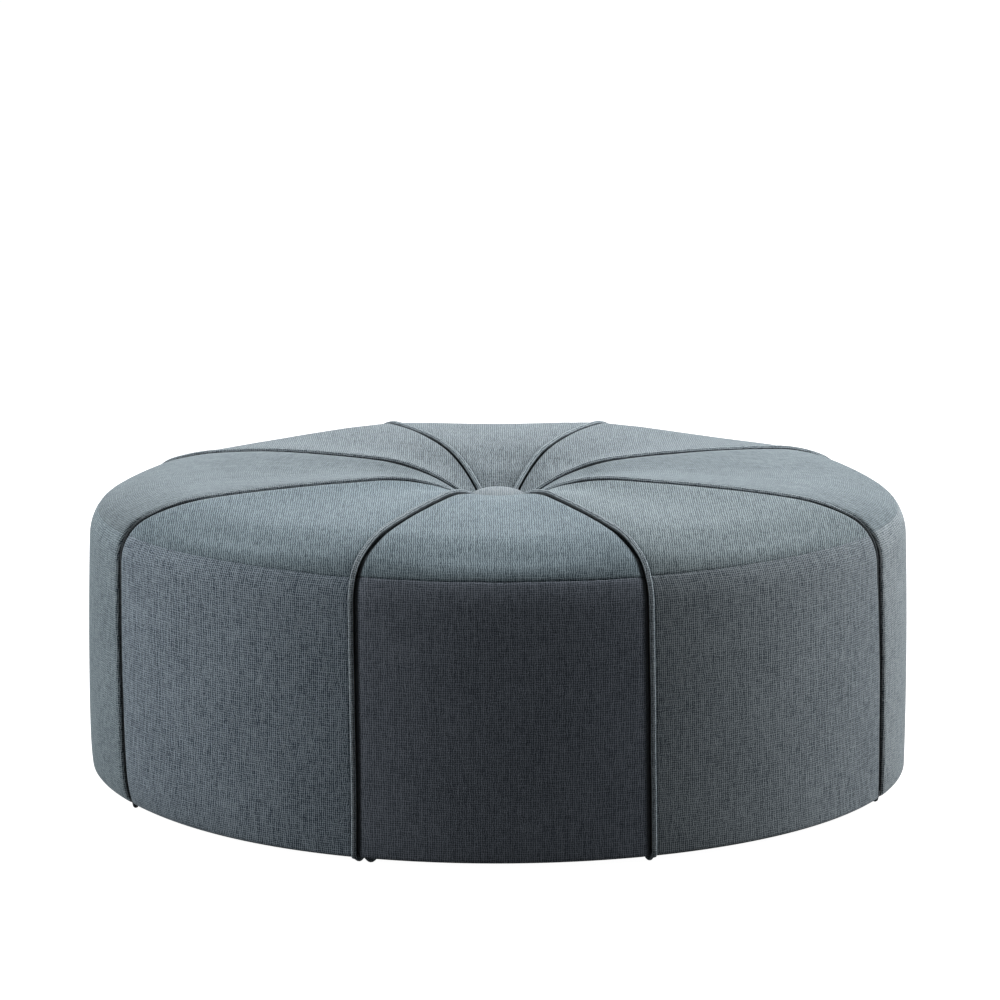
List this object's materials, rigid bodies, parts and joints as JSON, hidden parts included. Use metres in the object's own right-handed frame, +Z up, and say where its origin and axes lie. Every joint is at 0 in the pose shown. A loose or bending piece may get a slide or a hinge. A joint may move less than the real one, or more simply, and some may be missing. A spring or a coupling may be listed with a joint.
{
  "type": "ottoman",
  "caption": "Oval upholstered ottoman: drum-shaped body, crowned top sewn in gores, welts that run from a sunk centre button over the shoulder to the foot.",
  "frame": {"origin": "on the floor, under the middle of the ottoman", "axes": "+X along the long axis, +Y towards the back, +Z up; the front faces -Y"},
  "size_m": [1.2172, 0.9136, 0.4572],
  "materials": {
    "cover_cloth": "slubby linen-look weave, slate blue-grey",
    "welt_cloth": "the cover's cloth over a cord",
    "button_cloth": "the cover's cloth drawn over a button",
    "foam": "polyurethane foam",
    "plywood": "plywood",
    "softwood": "sawn softwood",
    "hardboard": "bent hardboard",
    "hardwood": "turned beech",
    "steel_wire": "bright wire",
    "dust_cloth": "black non-woven dust cloth",
    "glide_plastic": "black moulded plastic",
    "twine": "waxed tufting twine"
  },
  "bodies": {
    "root": {"base_board": "plywood", "base_staples": "steel_wire", "button_cover": "button_cloth", "button_disc": "hardwood", "button_pad": "foam", "dust_cover": "dust_cloth", "glide_nails": "steel_wire", "glides": "glide_plastic", "post_back_left": "softwood", "post_back_right": "softwood", "post_front_left": "softwood", "post_front_right": "softwood", "post_left_back": "softwood", "post_left_front": "softwood", "post_right_back": "softwood", "post_right_front": "softwood", "side_foam_back": "foam", "side_foam_front": "foam", "side_panel_back": "cover_cloth", "side_panel_back_left": "cover_cloth", "side_panel_back_right": "cover_cloth", "side_panel_front": "cover_cloth", "side_panel_front_left": "cover_cloth", "side_panel_front_right": "cover_cloth", "side_panel_left": "cover_cloth", "side_panel_right": "cover_cloth", "top_board": "plywood", "top_foam": "foam", "top_gore_back": "cover_cloth", "top_gore_back_left": "cover_cloth", "top_gore_back_right": "cover_cloth", "top_gore_front": "cover_cloth", "top_gore_front_left": "cover_cloth", "top_gore_front_right": "cover_cloth", "top_gore_left": "cover_cloth", "top_gore_right": "cover_cloth", "top_rail_left": "softwood", "top_rail_right": "softwood", "top_staples": "steel_wire", "tufting_twine": "twine", "twine_toggle": "hardwood", "wall_back": "hardboard", "wall_front": "hardboard", "wall_left": "hardboard", "wall_right": "hardboard", "welt_back_left": "welt_cloth", "welt_back_right": "welt_cloth", "welt_front_left": "welt_cloth", "welt_front_right": "welt_cloth", "welt_left_back": "welt_cloth", "welt_left_front": "welt_cloth", "welt_right_back": "welt_cloth", "welt_right_front": "welt_cloth"}
  },
  "joints": []
}
